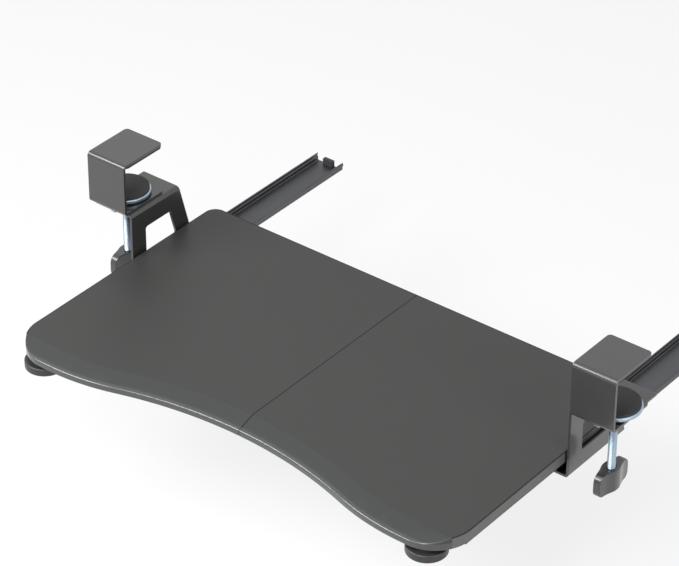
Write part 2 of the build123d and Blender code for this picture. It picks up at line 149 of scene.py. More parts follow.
class SteelFinish(PropertyGroup):
    """Colours of the clamps, slides, screws, knobs and rubber pieces."""

    paint: FloatVectorProperty(
        name="Paint",
        description="Powder coat of the clamps and brackets",
        subtype="COLOR",
        default=(0.027, 0.027, 0.028),
    )
    zinc: FloatVectorProperty(
        name="Zinc",
        description="Bright zinc plate of screws and discs",
        subtype="COLOR",
        default=(0.40, 0.48, 0.56),
    )
    rolled: FloatVectorProperty(
        name="Rolled steel",
        description="Dark plated steel of the slides",
        subtype="COLOR",
        default=(0.11, 0.11, 0.115),
    )
    plastic: FloatVectorProperty(
        name="Knob plastic",
        description="Moulded plastic of the knobs",
        subtype="COLOR",
        default=(0.026, 0.026, 0.027),
    )
    rubber: FloatVectorProperty(
        name="Rubber",
        description="Feet, pads and stops",
        subtype="COLOR",
        default=(0.028, 0.028, 0.028),
    )


class ScrewSizes(PropertyGroup):
    """Sizes of the clamp screws' thread and of the small screws' recess."""

    pitch: FloatProperty(
        name="Pitch",
        description="Rise of the thread in one turn",
        subtype="DISTANCE",
        default=0.00125,
        min=0.0005,
    )
    depth: FloatProperty(
        name="Depth",
        description="Depth of the thread",
        subtype="DISTANCE",
        default=0.0005,
        min=0.0001,
    )
    steps: IntProperty(
        name="Steps",
        description="Sides of one turn of the thread",
        default=20,
        min=8,
        max=64,
    )
    recess: FloatProperty(
        name="Recess",
        description="Width of the cross recess as a share of the head",
        default=0.62,
        min=0.2,
        max=0.9,
    )


class KnobSizes(PropertyGroup):
    """Sizes of the wing knobs."""

    thickness: FloatProperty(
        name="Wing thickness",
        description="Thickness of a wing at its end",
        subtype="DISTANCE",
        default=0.0072,
        min=0.004,
    )
    shoulder: FloatProperty(
        name="Shoulder",
        description="Radius of the wings' upper corners",
        subtype="DISTANCE",
        default=0.0088,
        min=0.001,
    )
    heel: FloatProperty(
        name="Heel",
        description="Radius of the wings' lower corners",
        subtype="DISTANCE",
        default=0.0064,
        min=0.001,
    )
    edge: FloatProperty(
        name="Edge",
        description="Radius of the moulding's edges",
        subtype="DISTANCE",
        default=0.0012,
        min=0.0002,
    )


class StageSetup(PropertyGroup):
    """Camera, light and floor."""

    azimuth: FloatProperty(
        name="Azimuth",
        description="Camera's turn round the object",
        subtype="ANGLE",
        default=math.radians(37.983),
    )
    elevation: FloatProperty(
        name="Elevation",
        description="Camera above the horizon",
        subtype="ANGLE",
        default=math.radians(33.733),
    )
    roll: FloatProperty(
        name="Roll",
        description="Camera's roll",
        subtype="ANGLE",
        default=math.radians(0.266),
    )
    distance: FloatProperty(
        name="Distance",
        description="Camera's distance",
        subtype="DISTANCE",
        default=3.0647,
    )
    target: FloatVectorProperty(
        name="Target",
        description="Point the camera looks at",
        subtype="XYZ",
        default=(-0.07087, 0.09086, -0.098),
    )
    lens: FloatProperty(
        name="Lens",
        description="Focal length in millimetres",
        unit="CAMERA",
        default=168.94,
    )
    key: FloatProperty(
        name="Key light",
        description="Power of the main lamp",
        unit="POWER",
        default=22.0,
    )
    fill: FloatProperty(
        name="Fill light",
        description="Power of the lamp in front",
        unit="POWER",
        default=22.0,
    )
    side: FloatProperty(
        name="Side light",
        description="Power of the lamp at the right",
        unit="POWER",
        default=12.0,
    )
    top: FloatProperty(
        name="Top light",
        description="Power of the lamp overhead",
        unit="POWER",
        default=8.0,
    )
    sky: FloatProperty(
        name="Sky",
        description="Strength of the even light from all round",
        default=0.20,
    )
    floor_drop: FloatProperty(
        name="Floor drop",
        description="How far the floor lies under the object",
        subtype="DISTANCE",
        default=0.12,
    )


# Shader maths and materials


class Signal:
    """A node's output that can be used in sums."""

    def __init__(self, nodes, socket):
        self.nodes = nodes
        self.socket = socket

    def combine(self, operation, first, second):
        return self.nodes.add("ShaderNodeMath", {"operation": operation}, {0: first, 1: second})

    def __add__(self, other):
        return self.combine("ADD", self, other)

    def __radd__(self, other):
        return self.combine("ADD", other, self)

    def __sub__(self, other):
        return self.combine("SUBTRACT", self, other)

    def __rsub__(self, other):
        return self.combine("SUBTRACT", other, self)

    def __mul__(self, other):
        return self.combine("MULTIPLY", self, other)

    def __rmul__(self, other):
        return self.combine("MULTIPLY", other, self)

    def __lt__(self, other):
        return self.combine("LESS_THAN", self, other)

    def __gt__(self, other):
        return self.combine("GREATER_THAN", self, other)

    def __or__(self, other):
        return self.combine("MAXIMUM", self, other)

    def __ror__(self, other):
        return self.combine("MAXIMUM", other, self)


class Nodes:
    """The node tree of a material or the world, built anew."""

    def __init__(self, owner):
        owner.use_nodes = True
        self.tree = owner.node_tree
        self.tree.nodes.clear()

    def feed(self, socket, value):
        """Links a signal to a socket, or sets the socket to a number or colour."""
        if isinstance(value, Signal):
            self.tree.links.new(value.socket, socket)
        elif hasattr(value, "__len__") and len(value) == 3 and len(socket.default_value) == 4:
            socket.default_value = (*value, 1.0)
        else:
            socket.default_value = value

    def add(self, kind, settings=None, inputs=None, output=0):
        """Adds a node with its settings and inputs, and gives one of its outputs if it has any."""
        node = self.tree.nodes.new(kind)
        for key, value in (settings or {}).items():
            setattr(node, key, value)
        for key, value in (inputs or {}).items():
            self.feed(node.inputs[key], value)
        return Signal(self, node.outputs[output]) if node.outputs else None


class Finish(Nodes):
    """A material: one Principled shader and the nodes that feed it."""

    def __init__(self, name):
        self.material = bpy.data.materials.new(name)
        super().__init__(self.material)
        surface = self.add("ShaderNodeBsdfPrincipled")
        self.shader = surface.socket.node
        self.add("ShaderNodeOutputMaterial", inputs={"Surface": surface})
        self.place = self.add("ShaderNodeTexCoord", output="Object")

    def set(self, **sockets):
        """Feeds the shader's sockets, which are named in small letters."""
        for name, value in sockets.items():
            title = name.replace("_", " ").title().replace("Ior", "IOR")
            self.feed(self.shader.inputs[title], value)

    def axis(self, letter):
        return self.add("ShaderNodeSeparateXYZ", inputs={0: self.place}, output=letter)

    def noise(self, size, stretch=(1, 1, 1), detail=2.0):
        """A grain of about that size in metres, drawn out along an axis whose stretch is over 1."""
        scale = tuple(1 / s for s in stretch)
        where = self.add("ShaderNodeMapping", inputs={"Vector": self.place, "Scale": scale})
        inputs = {"Vector": where, "Scale": 1 / size, "Detail": detail}
        return self.add("ShaderNodeTexNoise", inputs=inputs)

    def mix(self, share, first, second):
        """A colour between two colours."""
        inputs = {0: share, 6: first, 7: second}
        return self.add("ShaderNodeMix", {"data_type": "RGBA"}, inputs, output=2)

    def shades(self, share, colour, dark, light):
        """A colour that goes from its dark share to its light share."""
        return self.mix(share, tone(colour, dark), tone(colour, light))

    def bump(self, height, depth, strength=0.5):
        """A relief of that depth in metres."""
        inputs = {"Height": height, "Distance": depth, "Strength": strength}
        return self.add("ShaderNodeBump", inputs=inputs, output="Normal")

    def paint(self, *objects):
        for o in objects:
            o.data.materials.clear()
            o.data.materials.append(self.material)


def tone(colour, share):
    return tuple(min(1.0, c * share) for c in colour)


# Sizes of the finishes' grains, in metres
CLOUD = 0.055
STREAK = 0.0011
PEEL = 0.0013
DUST = 0.018
BLUSH = 0.03
MOTTLE = 0.012
WOOD_GRAIN = 0.0012

# Depths of their reliefs
FINE_RELIEF = 0.02 * MM
PEEL_RELIEF = 0.03 * MM
WOOD_RELIEF = 0.05 * MM
THREAD_RELIEF = 0.12 * MM

# The sloped band and the rounded front edge begin this far under the flat top. The backing reaches
# this far above the underside, and the seam's shade this far from the middle.
SLOPE_DROP = 0.15 * MM
NOSE_DROP = 5.2 * MM
BACKING_HEIGHT = 0.05 * MM
SEAM_REACH = 0.46 * MM


def laminate(looks, deck_z, under_z):
    """Finely specked on top, glossier on the sloped band and front edge, plain underneath, with a painted
    shade along the seam.
    """
    f = Finish("charcoal_laminate")
    speck = f.noise(looks.speck, detail=3)
    cloud = f.noise(CLOUD, detail=2)
    height = f.axis("Z")
    on_slope = height < deck_z - SLOPE_DROP
    top = f.shades(speck, looks.laminate, 0.84, 1.16)
    top = f.mix(cloud * 0.35, top, tone(looks.laminate, 0.88))
    # The sloped band's lighter colour is a painted sheen on the same laminate
    colour = f.mix(on_slope, top, f.shades(speck, looks.ramp, 0.90, 1.10))
    colour = f.mix(height < under_z + BACKING_HEIGHT, colour, looks.backing)
    # A near-black strip along the seam is painted shade of the groove between the halves
    from_seam = f.add("ShaderNodeMath", {"operation": "ABSOLUTE"}, {0: f.axis("X")})
    f.set(
        base_color=f.mix(from_seam < SEAM_REACH, colour, tone(looks.backing, 0.15)),
        roughness=0.40 + speck * 0.08 + cloud * 0.04 - on_slope * 0.10,
        normal=f.bump(f.noise(looks.speck * 0.6), FINE_RELIEF),
        coat_weight=(height < deck_z - NOSE_DROP) * 0.9,
        coat_roughness=0.13,
        specular_ior_level=0.38,
    )
    return f


# Height of the edge band's dark rim just under the board's top: painted shade of the arris and the gap
# above the band
SHADED_RIM_HEIGHT = 1.0 * MM


def band_plastic(looks, deck_z):
    """Streaked along its length, with a dark rim of painted shade at its top."""
    f = Finish("edge_band_plastic")
    streak = f.noise(STREAK, stretch=(30, 30, 1), detail=3)
    # The band's top rim is painted near black as the shade of the arris and its gap
    shaded_rim = f.axis("Z") > deck_z - SHADED_RIM_HEIGHT
    f.set(
        base_color=f.mix(shaded_rim, f.shades(streak, looks.band, 0.62, 1.42), tone(looks.band, 0.08)),
        roughness=0.42 + streak * 0.12 + shaded_rim * 0.40,
        normal=f.bump(streak, FINE_RELIEF, 0.6),
    )
    return f


def powder_coat(name, colour):
    """Fine orange peel with a glossy skin."""
    f = Finish(name)
    peel = f.noise(PEEL, detail=2)
    dust = f.noise(DUST, detail=3)
    f.set(
        base_color=f.shades(dust, colour, 0.90, 1.10),
        roughness=0.27 + peel * 0.08,
        normal=f.bump(peel, PEEL_RELIEF),
        coat_weight=0.65,
        coat_roughness=0.12,
    )
    return f


def plated(name, colour, roughness, grain=(1, 1, 1), size=0.004, thread=0.0):
    """Patchy plated metal, with the relief of a thread of that pitch if there is one."""
    f = Finish(name)
    patch = f.noise(size, stretch=grain, detail=3)
    blush = f.noise(BLUSH, detail=2)
    cool = (colour[0] * 0.97, colour[1], colour[2] * 1.05)
    relief, depth = patch * 0.15, FINE_RELIEF
    if thread:
        turn = f.axis("Z") * (2 * math.pi / thread)
        relief = relief + f.add("ShaderNodeMath", {"operation": "SINE"}, {0: turn})
        depth = THREAD_RELIEF
    f.set(
        base_color=f.mix(blush, tone(colour, 0.90), tone(cool, 1.06)),
        metallic=1.0,
        roughness=roughness + patch * 0.16,
        normal=f.bump(relief, depth, 0.6),
    )
    return f


def moulded(name, colour, roughness, grain, depth, coat=0.0):
    """Rubber or plastic with a moulded skin."""
    f = Finish(name)
    skin = f.noise(grain, detail=2)
    mottle = f.noise(MOTTLE, detail=2)
    f.set(
        base_color=f.shades(mottle, colour, 0.88, 1.14),
        roughness=roughness + skin * 0.10,
        normal=f.bump(skin, depth, 0.6),
        coat_weight=coat,
        coat_roughness=0.10,
    )
    return f


BEECH_DARK = (0.46, 0.31, 0.18)
BEECH_LIGHT = (0.70, 0.53, 0.35)


def beech():
    """Grain along the dowels."""
    f = Finish("beech_dowel")
    grain = f.noise(WOOD_GRAIN, stretch=(14, 1, 1), detail=4)
    f.set(
        base_color=f.mix(grain, BEECH_DARK, BEECH_LIGHT),
        roughness=0.55 + grain * 0.15,
        normal=f.bump(grain, WOOD_RELIEF),
    )
    return f


BALL_STEEL = (0.80, 0.80, 0.80)

# Pitch of the small screws' threads, which only their finish shows
SMALL_PITCH = 0.8 * MM

finishes = {}


def make_finishes(scene):
    """Makes a finish for each material slot of the record, and one for the small screws."""
    boards, steel = scene.tray_boards, scene.tray_steel
    low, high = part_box("right_tray_half")
    finishes.update(
        tray_laminate=laminate(boards, high.z, low.z),
        edge_plastic=band_plastic(boards, high.z),
        painted_steel=powder_coat("powder_coat", steel.paint),
        black_screws=powder_coat("black_coat", tone(steel.paint, 0.45)),
        zinc_plate=plated("zinc_plate", steel.zinc, 0.26),
        slide_steel=plated("rolled_steel", steel.rolled, 0.36, grain=(1, 40, 1), size=0.0012),
        ball_steel=plated("ball_steel", BALL_STEEL, 0.08),
        pad_rubber=moulded("pad_rubber", steel.rubber, 0.66, grain=0.0008, depth=0.05 * MM),
        foot_rubber=moulded("foot_rubber", tone(steel.rubber, 0.9), 0.34, grain=0.0009, depth=0.03 * MM),
        knob_plastic=moulded("knob_plastic", steel.plastic, 0.26, grain=0.0007, depth=0.02 * MM, coat=0.6),
        dowel_wood=beech(),
        threaded=plated("threaded_zinc", steel.zinc, 0.20, thread=SMALL_PITCH),
    )


# Choosing, shaping and finishing a piece


def clear_choice():
    if bpy.context.object and bpy.context.object.mode != "OBJECT":
        bpy.ops.object.mode_set(mode="OBJECT")
    bpy.ops.object.select_all(action="DESELECT")


def pick(piece):
    """Makes the piece the only one chosen."""
    clear_choice()
    piece.select_set(True)
    bpy.context.view_layer.objects.active = piece


def start(name):
    """Names the object that was just added or joined, and its mesh."""
    piece = bpy.context.object
    piece.name = name
    piece.data.name = name
    return piece


def choose_none(kind):
    """Leaves no face or edge chosen, in object mode, where the choice can be set in code."""
    bpy.ops.object.mode_set(mode="EDIT")
    bpy.ops.mesh.select_mode(type=kind)
    bpy.ops.mesh.select_all(action="DESELECT")
    bpy.ops.object.mode_set(mode="OBJECT")


def choose_faces(piece, wanted):
    """Goes into edit mode with only the wanted faces selected."""
    choose_none("FACE")
    for face in piece.data.polygons:
        face.select = wanted(face)
    bpy.ops.object.mode_set(mode="EDIT")


def choose_edges(piece, wanted):
    """Goes into edit mode with only the wanted edges selected, told by their two ends."""
    choose_none("EDGE")
    points = piece.data.vertices
    for edge in piece.data.edges:
        edge.select = wanted(*(points[i].co for i in edge.vertices))
    bpy.ops.object.mode_set(mode="EDIT")


def choose_all():
    """Goes into edit mode with everything selected."""
    bpy.ops.object.mode_set(mode="EDIT")
    bpy.ops.mesh.select_all(action="SELECT")


def grow(step, spread, centre):
    """Extrudes what is selected by a step, then scales the new end about a point."""
    bpy.ops.mesh.extrude_region_move(TRANSFORM_OT_translate={"value": step})
    bpy.ops.transform.resize(value=spread, center_override=centre)


def turn_up(piece, centre, radius, stations):
    """Builds a turned shape upwards from a disc, by extruding to each (height, radius)."""
    choose_faces(piece, lambda face: face.normal.z > FACING)
    height = stations[0][0]
    for z, wide in stations:
        share = wide / radius
        grow((0, 0, z - height), (share, share, 1), (centre.x, centre.y, z))
        height, radius = z, wide
    bpy.ops.mesh.select_all(action="SELECT")
    bpy.ops.mesh.remove_doubles(threshold=SAME_PLACE)
    bpy.ops.mesh.normals_make_consistent(inside=False)
    bpy.ops.object.mode_set(mode="OBJECT")


def apply(piece, kind, **settings):
    """Adds a modifier and applies it."""
    modifier = piece.modifiers.new(kind.title(), kind)
    for key, value in settings.items():
        setattr(modifier, key, value)
    bpy.context.view_layer.objects.active = piece
    bpy.ops.object.modifier_apply(modifier=modifier.name)


def settle(piece, angle=SMOOTH):
    """Puts the piece's place in its mesh and smooths what isn't a sharp edge."""
    pick(piece)
    bpy.ops.object.transform_apply(location=True, rotation=True, scale=True)
    bpy.ops.object.shade_smooth_by_angle(angle=math.radians(angle))
    return piece


def finish_faces(piece, angle=SMOOTH):
    """Smooths the piece with its flat faces kept flat, by weighting normals by area."""
    settle(piece, angle)
    apply(piece, "WEIGHTED_NORMAL", keep_sharp=True, weight=100)
    return piece


def join(name, pieces):
    clear_choice()
    for piece in pieces:
        piece.select_set(True)
    bpy.context.view_layer.objects.active = pieces[0]
    if len(pieces) > 1:
        bpy.ops.object.join()
    return start(name)


def copy_at(piece, step):
    """A copy with its own mesh, moved by a step."""
    twin = piece.copy()
    twin.data = piece.data.copy()
    twin.location = piece.location + step
    bpy.context.scene.collection.objects.link(twin)
    return twin


def cleaned(node, name):
    """A copy of a solid with its triangles merged into whole faces."""
    source = frame["nodes"][node]
    piece = source.copy()
    piece.data = source.data.copy()
    for key in list(piece.keys()):
        if key.startswith("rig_"):
            del piece[key]
    piece.parent = None
    bpy.context.scene.collection.objects.link(piece)
    pick(piece)
    piece.name = name
    choose_all()
    bpy.ops.mesh.remove_doubles(threshold=MERGE)
    bpy.ops.mesh.dissolve_limited(angle_limit=math.radians(FLAT_ANGLE))
    bpy.ops.object.mode_set(mode="OBJECT")
    if piece.data.has_custom_normals:
        bpy.ops.mesh.customdata_custom_splitnormals_clear()
    return piece


def edged(node, name, width):
    """A copy of a solid with its sharp edges eased, as a press leaves them."""
    piece = cleaned(node, name)
    limit = math.radians(SHEET_EDGE_ANGLE)
    apply(piece, "BEVEL", width=width, segments=2, limit_method="ANGLE", angle_limit=limit)
    return finish_faces(piece)


def dress(piece, finish, body, node):
    """Gives the piece its finish, and makes it stand for a node on a body."""
    finishes[finish].paint(piece)
    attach(piece, body)
    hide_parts(node)


class TRAY_OT_finishes(Operator):
    """Give every solid of the frame its finish"""

    bl_idname = "tray.finishes"
    bl_label = "Finishes"

    def execute(self, context):
        make_finishes(context.scene)
        for entry in frame["record"]["subparts"]:
            finishes[entry["material_slot"]].paint(frame["nodes"][entry["node"]])
        return {"FINISHED"}


# The seam's chamfers run along the flat top, and down the front edge to this height above the
# underside. The front edge's chamfers stay this far before the first dowel.
CHAMFER_END = 0.5 * MM
DOWEL_ROOM = 1.0 * MM

# Half of the gap that the closed seam keeps
HALF_GAP = 0.002 * MM


def close_seam(piece, side, way, chamfer):
    """Chamfers the seam's upper edges, and moves the board half's inner face to the middle."""
    low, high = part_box(f"{side}_tray_half")
    front_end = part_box("alignment_dowels")[0].y - DOWEL_ROOM
    face_x = min(abs(low.x), abs(high.x))

    def at_seam(point):
        return abs(abs(point.x) - face_x) < SAME_PLACE

    def upper(point):
        on_front = point.y < front_end and point.z > low.z + CHAMFER_END
        return point.z > high.z - SAME_PLACE or on_front

    choose_edges(piece, lambda a, b: at_seam(a) and at_seam(b) and upper((a + b) / 2))
    bpy.ops.mesh.bevel(offset=chamfer, segments=1, affect="EDGES")
    choose_edges(piece, lambda a, b: at_seam(a) and at_seam(b))
    bpy.ops.transform.translate(value=(way * (face_x - HALF_GAP), 0, 0))
    bpy.ops.object.mode_set(mode="OBJECT")


class TRAY_OT_boards(Operator):
    """Butt the two board halves together and chamfer the upper edges of their seam"""

    bl_idname = "tray.boards"
    bl_label = "Board halves"

    def execute(self, context):
        for side, way in zip(SIDES, (1, -1)):
            piece = cleaned(f"{side}_tray_half", f"{side}_board")
            close_seam(piece, side, way, context.scene.tray_boards.seam)
            finish_faces(piece, BOARD_SMOOTH)
            dress(piece, "tray_laminate", "tray", f"{side}_tray_half")
        return {"FINISHED"}


class TRAY_OT_clamps(Operator):
    """Ease the edges of the bent clamps and brackets"""

    bl_idname = "tray.clamps"
    bl_label = "Clamps and brackets"

    def execute(self, context):
        for side in SIDES:
            for node in ("clamp_frame", "side_bracket"):
                piece = edged(f"{side}_{node}", f"{side}_{node}_steel", CLAMP_EDGE)
                dress(piece, "painted_steel", "frame", f"{side}_{node}")
        return {"FINISHED"}


# Clamp screw: the height of its first step, the radius of its crest and collar, the collar's
# height and how far it lies under the disc's top, and the tenon whose end is riveted on the disc
CORE_START = 1.0 * MM
CREST_RADIUS = 4.0 * MM
COLLAR_HEIGHT = 1.2 * MM
COLLAR_DROP = 1.6 * MM
TENON_RADIUS = 2.5 * MM
RIVET_HEIGHT = 1.0 * MM
RIVET_RADIUS = 3.9 * MM
RIVET_SLOPE = 0.5 * MM
RIVET_TOP_RADIUS = 2.6 * MM

# Its thread: where it starts above the screw's lower end, its room under the collar's top, how deep
# its foot stands in the core, and half of its foot's height as a share of the pitch
THREAD_START = 1.2 * MM
THREAD_ROOM = 1.6 * MM
THREAD_SINK = 0.1 * MM
THREAD_FOOT_SHARE = 0.42


def screw_core(name, centre, low, high, collar_top, root):
    """The core up to its collar, and the riveted tenon above it."""
    place = (centre.x, centre.y, low + CORE_START / 2)
    clear_choice()
    bpy.ops.mesh.primitive_cylinder_add(vertices=40, radius=root, depth=CORE_START, location=place)
    core = start(name)
    stations = [
        (low + CORE_START, root),
        (collar_top - COLLAR_HEIGHT, root),
        (collar_top - COLLAR_HEIGHT, CREST_RADIUS),
        (collar_top, CREST_RADIUS),
        (collar_top, TENON_RADIUS),
        (high - RIVET_HEIGHT, TENON_RADIUS),
        (high - RIVET_HEIGHT, RIVET_RADIUS),
        (high - RIVET_SLOPE, RIVET_RADIUS),
        (high, RIVET_TOP_RADIUS),
    ]
    turn_up(core, centre, root, stations)
    return settle(core)


def screw_ridge(name, foot, length, root, sizes):
    """The thread: an upright triangle that points away from the axis, wound up from its foot."""
    # A triangle in a circle reaches a radius before its middle, half a radius behind it, and half
    # of the root of three to either side. It is stretched to reach from the foot to the crest.
    radius = 2 * sizes.pitch * THREAD_FOOT_SHARE / math.sqrt(3)
    inner = root - THREAD_SINK
    stretch = (CREST_RADIUS - inner) / (1.5 * radius)
    upright = (math.pi / 2, -math.pi / 6, 0)
    clear_choice()
    bpy.ops.mesh.primitive_circle_add(
        vertices=3, radius=radius, fill_type="NOTHING", location=foot, rotation=upright
    )
    ridge = start(name)
    bpy.ops.object.transform_apply(location=False, rotation=True, scale=False)
    choose_all()
    bpy.ops.transform.resize(value=(stretch, 1, 1), center_override=foot)
    bpy.ops.transform.translate(value=(inner + radius * stretch / 2, 0, 0))
    bpy.ops.object.mode_set(mode="OBJECT")
    apply(
        ridge,
        "SCREW",
        axis="Z",
        angle=2 * math.pi,
        screw_offset=sizes.pitch,
        iterations=int(length / sizes.pitch) - 1,
        steps=sizes.steps,
        render_steps=sizes.steps,
        use_merge_vertices=True,
        merge_threshold=MERGE,
    )
    choose_all()
    bpy.ops.mesh.fill_holes(sides=4)
    bpy.ops.mesh.normals_make_consistent(inside=False)
    bpy.ops.object.mode_set(mode="OBJECT")
    return settle(ridge)


class TRAY_OT_clamp_screws(Operator):
    """Make the threaded clamp screws with their riveted ends"""

    bl_idname = "tray.clamp_screws"
    bl_label = "Clamp screws"

    def execute(self, context):
        sizes = context.scene.tray_screws
        root = CREST_RADIUS - sizes.depth
        for side in SIDES:
            low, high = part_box(f"{side}_clamp_screw")
            centre = (low + high) / 2
            collar_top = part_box(f"{side}_pressure_disc")[1].z - COLLAR_DROP
            name = f"{side}_threaded_screw"
            core = screw_core(name, centre, low.z, high.z, collar_top, root)
            foot = (centre.x, centre.y, low.z + THREAD_START)
            length = collar_top - THREAD_ROOM - low.z - THREAD_START
            ridge = screw_ridge(f"{side}_thread", foot, length, root, sizes)
            piece = join(name, [core, ridge])
            dress(piece, "zinc_plate", f"{side}_screw", f"{side}_clamp_screw")
        return {"FINISHED"}


# Wing knob: its room inside the solid's height, its hub's length, and the wings' widths as shares
# of the hub's width at distances from the axis
KNOB_TOP_ROOM = 0.4 * MM
KNOB_FOOT_ROOM = 0.6 * MM
HUB_LENGTH = 5.0 * MM
WING_SHARES = ((5.5 * MM, 0.90), (9.5 * MM, 0.72), (14.5 * MM, 0.56))

# Its socket, and the socket's floor as a share of its mouth
SOCKET_RADIUS = 4.7 * MM
SOCKET_DEPTH = 2.5 * MM
SOCKET_FLOOR_SHARE = 0.87


def knob_slab(name, centre, size, foot, top, thickness):
    """A slab along Y that narrows from the hub to its two ends."""
    place = (centre.x, centre.y, (top + foot) / 2)
    reach = size.y / 2
    clear_choice()
    bpy.ops.mesh.primitive_cube_add(size=1, location=place, scale=(size.x, HUB_LENGTH, top - foot))
    slab = start(name)
    bpy.ops.object.transform_apply(location=True, rotation=True, scale=True)
    stations = [(out, size.x * share) for out, share in WING_SHARES] + [(reach, thickness)]
    for way in (-1, 1):
        choose_faces(slab, lambda face: face.normal.y * way > FACING)
        out, wide = HUB_LENGTH / 2, size.x
        for next_out, next_wide in stations:
            end = (centre.x, centre.y + way * next_out, centre.z)
            grow((0, way * (next_out - out), 0), (next_wide / wide, 1, 1), end)
            out, wide = next_out, next_wide
        bpy.ops.object.mode_set(mode="OBJECT")
    return slab


def round_ends(slab, centre, reach, way, radius):
    """Rounds the two cross edges at the slab's ends that lie above the centre, or below it."""

    def at_end(point):
        beyond = abs(point.y - centre.y) - reach
        return abs(beyond) < SAME_PLACE and (point.z - centre.z) * way > 0

    choose_edges(slab, lambda a, b: abs(a.z - b.z) < SAME_PLACE and at_end(a) and at_end(b))
    bpy.ops.mesh.bevel(offset=radius, segments=8, affect="EDGES")
    bpy.ops.object.mode_set(mode="OBJECT")


def bore(slab, centre, top):
    """Sinks the tapered socket in which the screw stands."""
    place = (centre.x, centre.y, top)
    floor = (centre.x, centre.y, top - SOCKET_DEPTH)
    narrower = (SOCKET_FLOOR_SHARE, SOCKET_FLOOR_SHARE, 1)
    clear_choice()
    bpy.ops.mesh.primitive_cylinder_add(
        vertices=40, radius=SOCKET_RADIUS, depth=2 * SOCKET_DEPTH, location=place
    )
    cutter = start("socket_cutter")
    choose_faces(cutter, lambda face: face.normal.z < -FACING)
    bpy.ops.transform.resize(value=narrower, center_override=floor)
    bpy.ops.object.mode_set(mode="OBJECT")
    apply(slab, "BOOLEAN", object=cutter, operation="DIFFERENCE", solver="EXACT")
    bpy.data.objects.remove(cutter)


class TRAY_OT_knobs(Operator):
    """Mould the wing knobs: a slab with rounded ends that swells to the hub"""

    bl_idname = "tray.knobs"
    bl_label = "Wing knobs"

    def execute(self, context):
        sizes = context.scene.tray_knobs
        limit = math.radians(KNOB_EDGE_ANGLE)
        for side in SIDES:
            low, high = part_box(f"{side}_wing_knob")
            centre, size = (low + high) / 2, high - low
            foot, top = low.z + KNOB_FOOT_ROOM, high.z - KNOB_TOP_ROOM
            slab = knob_slab(f"{side}_slab", centre, size, foot, top, sizes.thickness)
            round_ends(slab, centre, size.y / 2, 1, sizes.shoulder)
            round_ends(slab, centre, size.y / 2, -1, sizes.heel)
            bore(slab, centre, top)
            apply(slab, "BEVEL", width=sizes.edge, segments=3, limit_method="ANGLE", angle_limit=limit)
            piece = finish_faces(slab, KNOB_SMOOTH)
            piece.name = f"{side}_moulded_knob"
            dress(piece, "knob_plastic", f"{side}_screw", f"{side}_wing_knob")
        return {"FINISHED"}


# A small screw has a head and a shank of these radii. A head with no height is countersunk, and a
# screw that is turned over has its head up.
SmallScrew = namedtuple("SmallScrew", "head shank height turned body slot")
JOINING_SCREW = SmallScrew(3.35 * MM, 1.75 * MM, 0.0, False, "tray", "zinc_plate")
SIDE_SCREWS = {
    "bracket_screws": SmallScrew(4.75 * MM, 2.50 * MM, 0.0, True, "frame", "black_screws"),
    "slide_screws": SmallScrew(3.60 * MM, 2.00 * MM, 1.6 * MM, True, "frame", "zinc_plate"),
    "inner_slide_screws": SmallScrew(3.20 * MM, 1.75 * MM, 1.8 * MM, False, "tray", "zinc_plate"),
    "foot_screw": SmallScrew(3.80 * MM, 2.00 * MM, 2.4 * MM, False, "tray", "zinc_plate"),
}

# A raised head's flat face as a share of its radius, and its profile as shares of height and radius
FACE_SHARE = 0.78
PROFILE_SHARES = ((0.35, 0.94), (0.75, 1.0), (1.0, 1.0))

# The recess's depth as a share of the head's radius, an arm's width as a share of its length, and
# the recess's floor as a share of the arm's full size
RECESS_DEPTH_SHARE = 0.42
RECESS_ARM_SHARE = 0.24
RECESS_FLOOR_SHARE = 0.55

# The point's length and its end's radius as shares of the shank's radius
POINT_LENGTH_SHARE = 0.5
POINT_END_SHARE = 0.6

# Height of the disc from which a screw is built, and of a countersunk head's rim with it
HEAD_START = 0.1 * MM
SUNK_RIM = 0.2 * MM

# Points nearer than this to a screw's middle, seen from above, belong to that screw
SCREW_REACH = 6.5 * MM


def spots(node):
    """The lowest and highest corner of each separate upright screw in a node."""
    found = []
    for vertex in frame["nodes"][node].data.vertices:
        p = vertex.co
        for low, high in found:
            if math.hypot(p.x - (low.x + high.x) / 2, p.y - (low.y + high.y) / 2) < SCREW_REACH:
                for i in range(3):
                    low[i] = min(low[i], p[i])
                    high[i] = max(high[i], p[i])
                break
        else:
            found.append((Vector(p), Vector(p)))
    return found


def cross_cutter(centre, width, depth, z):
    """The two arms of a tapered cross that cuts a driver's recess upwards from a face at z."""
    arms = []
    place, floor = (centre.x, centre.y, z), (centre.x, centre.y, z + depth)
    narrower = (RECESS_FLOOR_SHARE, RECESS_FLOOR_SHARE, 1)
    across = width * RECESS_ARM_SHARE
    for size in ((width, across, 2 * depth), (across, width, 2 * depth)):
        clear_choice()
        bpy.ops.mesh.primitive_cube_add(size=1, location=place, scale=size)
        arm = start("recess_arm")
        bpy.ops.object.transform_apply(location=True, rotation=True, scale=True)
        choose_faces(arm, lambda face: face.normal.z > FACING)
        bpy.ops.transform.resize(value=narrower, center_override=floor)
        bpy.ops.object.mode_set(mode="OBJECT")
        arms.append(arm)
    return arms


